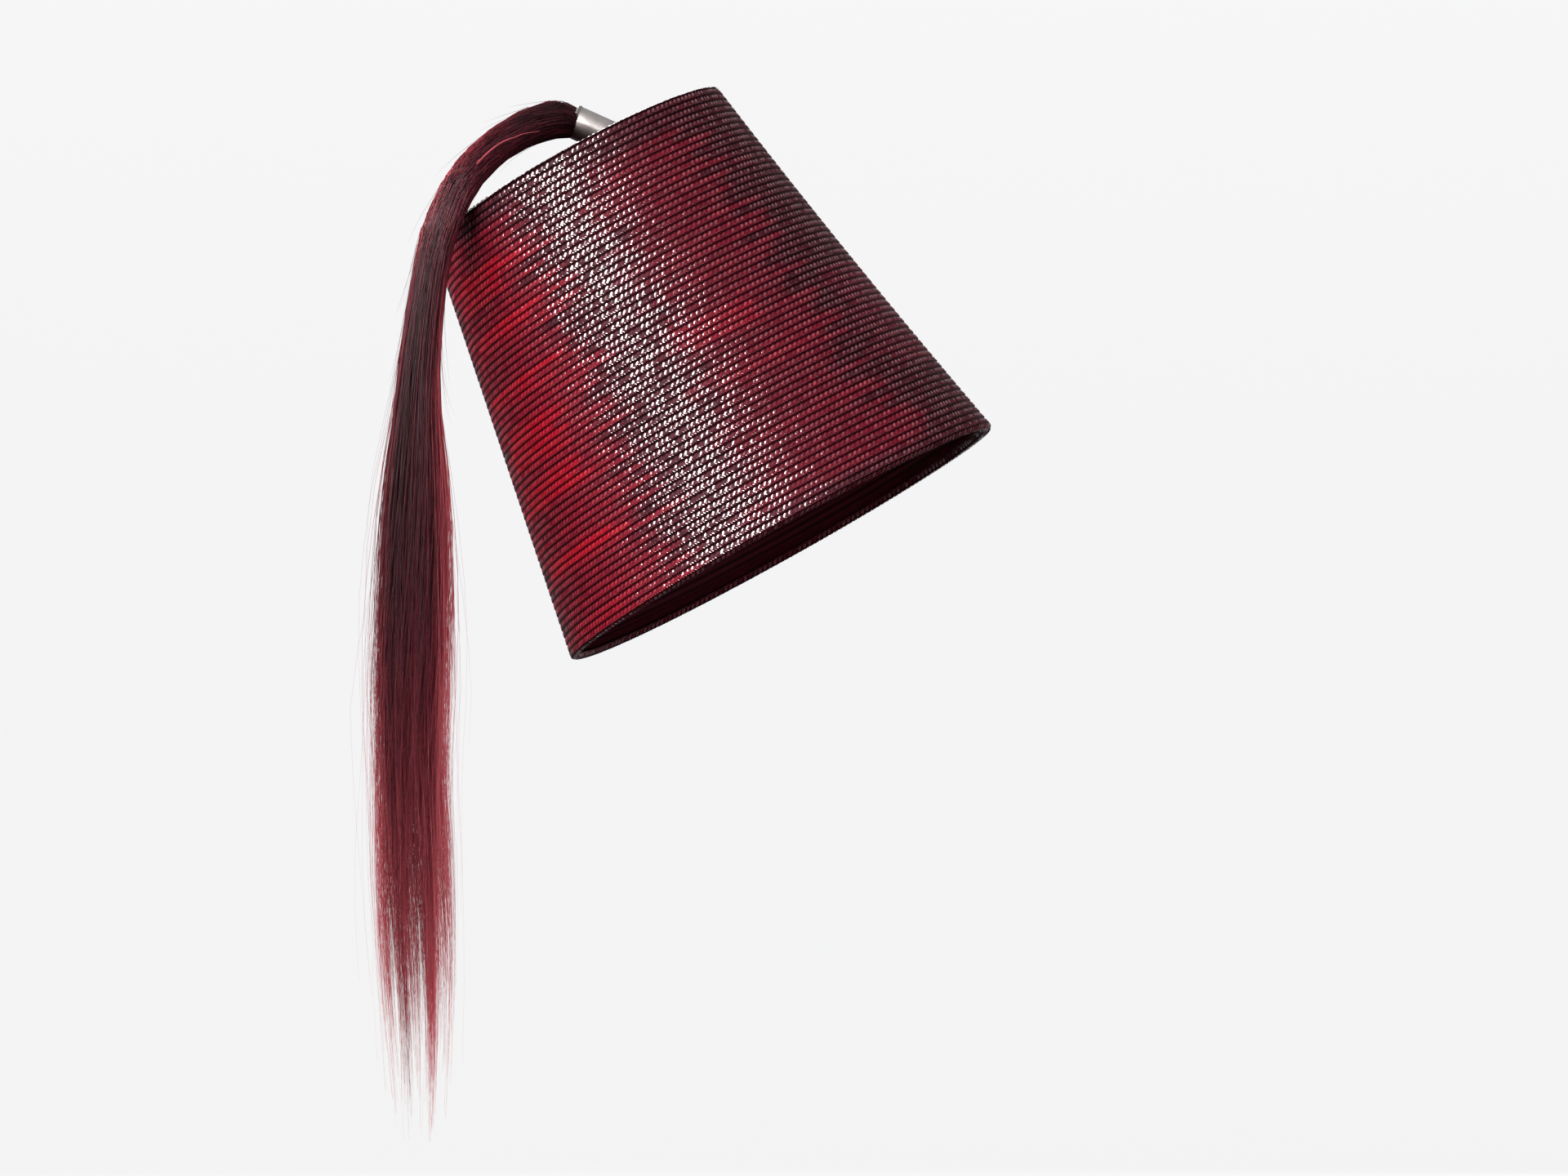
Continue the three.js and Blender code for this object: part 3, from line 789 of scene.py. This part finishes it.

# The red is painted light: light through the hank's thin edges, the side toward the hat's front and its lower
# part, and a painted highlight at the bend of the shoulder. Over the arch only the upper side is red. The
# other side turns red well below the shoulder. Close to the ferrule the hank is darker.
front = np.clip(0.5 - 0.5 * turned[..., 0], 0, 1)
painted_edge_light = rises(np.abs(turned[..., 0]), 0.5, 0.5)
painted_shoulder_highlight = np.exp(-(((share - shoulder_share) / 0.07) ** 2))
hanging = rises(share, 0.2, 0.22)
redness = 0.05 + 0.12 * hanging + 0.58 * painted_edge_light * np.maximum(hanging, 1 - front)
redness = redness + (0.45 * painted_edge_light * front + 0.4 * front**2) * hanging
redness = redness + 0.7 * rises(share, 0.5, 0.35) + 0.45 * painted_shoulder_highlight * (1 - 0.5 * front)
redness = redness - 0.3 * np.clip(1 - share / 0.1, 0, 1) + (each(-0.15, 0.15) + clump_red[clump_of][:, None])
redness = np.clip(redness, 0, 1)

# Short flyaways lift off the hank's upper part, and one broken lock stands off the arch on the near side.
FLYAWAYS = 70
LOCK_HAIRS = 5
BROKEN_LOCK = np.array([
    (-123.7, -49.3, 149.6), (-119.6, -46.4, 154.3), (-116.2, -43.3, 157.8), (-112.9, -40.0, 160.4),
    (-108.9, -36.4, 162.6), (-105.1, -31.5, 164.9), (-99.3, -26.0, 166.7),
])
step = np.linspace(0, 1, STEPS)[None, :]
begin = dice.uniform(0.01, 0.34, FLYAWAYS)[:, None]
at, back, sideways, radius = along_hank(begin + dice.uniform(0.04, 0.12, FLYAWAYS)[:, None] * step)
side = dice.uniform(0, 2 * np.pi, FLYAWAYS)[:, None]
lifted = radius * 0.97 + dice.uniform(1, 5.5, FLYAWAYS)[:, None] * step**1.6
flyaways = at - back * (lifted * np.cos(side))[..., None] + sideways * (lifted * np.sin(side))[..., None]
apart = dice.normal(0, 0.16, (LOCK_HAIRS, 1, 3)) * (1 - 0.8 * step[..., None])
lock = through(BROKEN_LOCK, step[0] * (len(BROKEN_LOCK) - 1)) + apart
strands = np.concatenate([strands, flyaways, lock])
flyaway_thick = 0.09 * np.ones((FLYAWAYS, 1)) * (1.1 - step)
lock_thick = 0.24 * np.ones((LOCK_HAIRS, 1)) * (1.15 - step) ** 0.5
thick = np.concatenate([thick, flyaway_thick, lock_thick])
# The broken lock is painted light red past full redness, as a painted highlight.
redness = np.concatenate([redness, np.full((FLYAWAYS, STEPS), 0.5), np.full((LOCK_HAIRS, STEPS), 1.1)])

# From burgundy black, through auburn, to the red of the lit edges
HAIR_COLOURS = [
    (0.0, (0.016, 0.004, 0.006)),
    (0.4, (0.085, 0.012, 0.02)),
    (0.75, (0.24, 0.026, 0.038)),
    (1.0, (0.5, 0.09, 0.11)),
]


def hair_finish(name):
    """Long straight hair with fine streaks, in the colour that its redness, painted light included, asks for.
    """
    material, tree, shader = surface(name)
    red = carried(tree, "redness")
    place = Wire.node(tree, "ShaderNodeTexCoord", out="Object")
    stretched = Wire.node(tree, "ShaderNodeMapping", inputs={"Vector": place, "Scale": (700, 700, 40)})
    streak = noise(tree, stretched, 1.0, 2.0)
    colour = painted(tree, (red + (streak - 0.5) * 0.35).clamp(), HAIR_COLOURS)
    feed(tree, shader, base_color=colour, roughness=0.42 + 0.15 * streak, specular_ior_level=0.1)
    return material


def hair_tree():
    """A thin tapered rod along each line."""
    tree, given = tree_with("hairs", {"Fineness": 1})
    lines = Wire.node(tree, "GeometryNodeMeshToCurve", inputs={"Mesh": given})
    triangle = Wire.node(tree, "GeometryNodeCurvePrimitiveCircle", inputs={"Resolution": 3, "Radius": 0.001})
    thickness = Wire.node(tree, "GeometryNodeInputNamedAttribute", {"data_type": "FLOAT"}, {"Name": "thick"})
    scale = thickness * given.at("Fineness")
    swept = {"Curve": lines, "Profile Curve": triangle, "Scale": scale, "Fill Caps": True}
    return ended(tree, given, Wire.node(tree, "GeometryNodeCurveToMesh", inputs=swept))


hair_material = hair_finish("tassel hair")
hairs_tree = hair_tree()
order = np.argsort(own_out + loose)
outer = np.concatenate([order[HAIRS // 2 :], np.arange(HAIRS, len(strands))])
for name, mine in (("hair_inner", order[: HAIRS // 2]), ("hair_outer", outer)):
    edges = [(i * STEPS + j, i * STEPS + j + 1) for i in range(mine.size) for j in range(STEPS - 1)]
    line_values = {"thick": thick[mine].ravel(), "redness": redness[mine].ravel()}
    path = plain_mesh(name + "_lines", strands[mine].reshape(-1, 3), [], edges, line_values)
    piece(name, grown(name, path, hairs_tree, {"Fineness": 1.0}, 0, hair_material))

# The dense middle of the hank, which the loose hairs cover
CORE_SIDES = 20
CORE_RINGS = 46
CORE_REACH = 0.64
core_share = np.linspace(0.0, CORE_REACH, CORE_RINGS)
at, back, sideways, radius = along_hank(core_share)
core_fill = 0.8 - 0.68 * rises(core_share, 0.22, 0.4) ** 0.9
core_fill[-1] = 0.05
turn = 2 * np.pi * np.arange(CORE_SIDES) / CORE_SIDES
down = core_share[:, None]
lobes = 1 + 0.1 * np.cos(5 * turn[None, :] + down * 9) + 0.05 * np.cos(8 * turn[None, :] - down * 5)
ring_radius = (radius * core_fill)[:, None] * lobes
to_front = (ring_radius * np.cos(turn))[..., None]
to_side = (ring_radius * flat_share(core_share)[:, None] * np.sin(turn))[..., None]
core_points = (at[:, None] - back[:, None] * to_front + sideways[:, None] * to_side).reshape(-1, 3)
core_faces = ring_faces(CORE_RINGS, CORE_SIDES)
core_faces += [list(range(CORE_SIDES))[::-1], [(CORE_RINGS - 1) * CORE_SIDES + j for j in range(CORE_SIDES)]]
# Painted shade: the core is nearly black, as the shaded inside of the hank.
core_values = {"redness": np.full(len(core_points), 0.02)}
core_mesh = plain_mesh("hair_core", core_points, core_faces, values=core_values)
core = piece("hair_core", core_mesh, hair_material)
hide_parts("tassel_hair")


# Studio. A pale floor that curves up into a wall all round and glows evenly. Only the camera sees it, so
# that the braid's gloss shows a dark room with one window in it.
FLOOR = -0.3
FLOOR_REACH = 3.4
BEND = 1.6
WALL_HEIGHT = 3.4
BOWL_SIDES = 64
bends = [k * math.pi / 16 for k in range(1, 9)]
profile = [(2, 0), (FLOOR_REACH, 0)]
profile += [(FLOOR_REACH + BEND * math.sin(q), BEND - BEND * math.cos(q)) for q in bends]
profile += [(FLOOR_REACH + BEND, WALL_HEIGHT)]
turn = 2 * np.pi * np.arange(BOWL_SIDES) / BOWL_SIDES
bowl = [[r * np.cos(q), r * np.sin(q), FLOOR + z] for r, z in profile for q in turn] + [[0, 0, FLOOR]]
bowl_faces = [[len(bowl) - 1, j, (j + 1) % BOWL_SIDES] for j in range(BOWL_SIDES)]
bowl_faces += [f[::-1] for f in ring_faces(len(profile), BOWL_SIDES)]
studio = bpy.data.objects.new("studio", plain_mesh("studio", np.array(bowl) * 1000, bowl_faces))
bpy.context.collection.objects.link(studio)
paper, tree, shader = surface("studio paper")
place = Wire.node(tree, "ShaderNodeTexCoord", out="Object")
height = Wire.node(tree, "ShaderNodeSeparateXYZ", inputs={0: place}).at("Z")
glow_stops = [(0.0, (0.86, 0.86, 0.86)), (0.3, (0.87, 0.87, 0.88)), (1.0, (0.93, 0.93, 0.935))]
glow = painted(tree, ((height - FLOOR) * 0.4).clamp(), glow_stops)
feed(tree, shader, base_color=(0.05, 0.05, 0.05, 1), roughness=1.0, specular_ior_level=0.0)
feed(tree, shader, emission_color=glow, emission_strength=1.0)
paper.cycles.emission_sampling = "NONE"
studio.data.materials.append(paper)
studio.visible_diffuse = studio.visible_glossy = studio.visible_transmission = studio.visible_shadow = False

# The room that the gloss shows: dark on the camera's side, paler behind the hat, with a bright ceiling
ROOM = [
    (0.0, (0.16, 0.16, 0.17)),
    (0.4, (0.2, 0.2, 0.21)),
    (0.7, (0.28, 0.28, 0.29)),
    (1.0, (0.38, 0.38, 0.39)),
]
CEILING = (0.95, 0.95, 0.96)
world = bpy.data.worlds.new("studio light")
bpy.context.scene.world = world
world.use_nodes = True
sky = world.node_tree
toward = Wire.node(sky, "ShaderNodeTexCoord", out="Generated")
toward = Wire.node(sky, "ShaderNodeSeparateXYZ", inputs={0: toward})
room = painted(sky, toward.at("Y") * 0.5 + 0.5, ROOM)
room = blended(sky, ((toward.at("Z") - 0.5) * 2.5).clamp(), room, (*CEILING, 1))
sky.links.new(room.socket, sky.nodes["Background"].inputs["Color"])


def softbox(name, place, size, power, diffuse=True, glossy=True):
    """A rectangle of light aimed at the cap. Gloss or matt surfaces can be kept from seeing it."""
    light = bpy.data.lights.new(name, "AREA")
    light.shape, light.size, light.size_y = "RECTANGLE", size[0], size[1]
    light.energy = power
    made = bpy.data.objects.new(name, light)
    made.location = place
    made.rotation_euler = (Vector((-0.04, 0, 0.08)) - Vector(place)).to_track_quat("-Z", "Y").to_euler()
    made.visible_diffuse, made.visible_glossy = diffuse, glossy
    bpy.context.collection.objects.link(made)


softbox("window", (-1.13, -1.5, 1.06), (0.9, 1.2), 230, diffuse=False)
softbox("key", (-1.13, -1.5, 1.06), (0.8, 0.8), 45, glossy=False)
softbox("fill", (-2.5, -0.7, 0.4), (2, 2), 90, glossy=False)
softbox("front fill", (1.3, -2.2, 0.5), (2, 2), 45, glossy=False)
softbox("rear window", (-0.7, 2.0, 1.1), (0.9, 1.2), 60)
softbox("rear fill", (1.5, 2.0, 0.4), (2, 2), 70, glossy=False)

# Camera, a little below the hat and level with its right side
CAMERA_DISTANCE = 2.4
CAMERA_BELOW = math.radians(5.2)
camera = bpy.data.cameras.new("camera")
camera.sensor_width = 36
camera.lens = 134.55
camera.shift_x = 0.00075
camera.shift_y = -0.0278
camera.clip_end = 50
view = bpy.data.objects.new("camera", camera)
view.location = (0, -CAMERA_DISTANCE * math.cos(CAMERA_BELOW), -CAMERA_DISTANCE * math.sin(CAMERA_BELOW))
view.rotation_euler = (-Vector(view.location)).to_track_quat("-Z", "Y").to_euler()
bpy.context.collection.objects.link(view)
bpy.context.scene.camera = view
bpy.context.scene.view_settings.view_transform = "Standard"
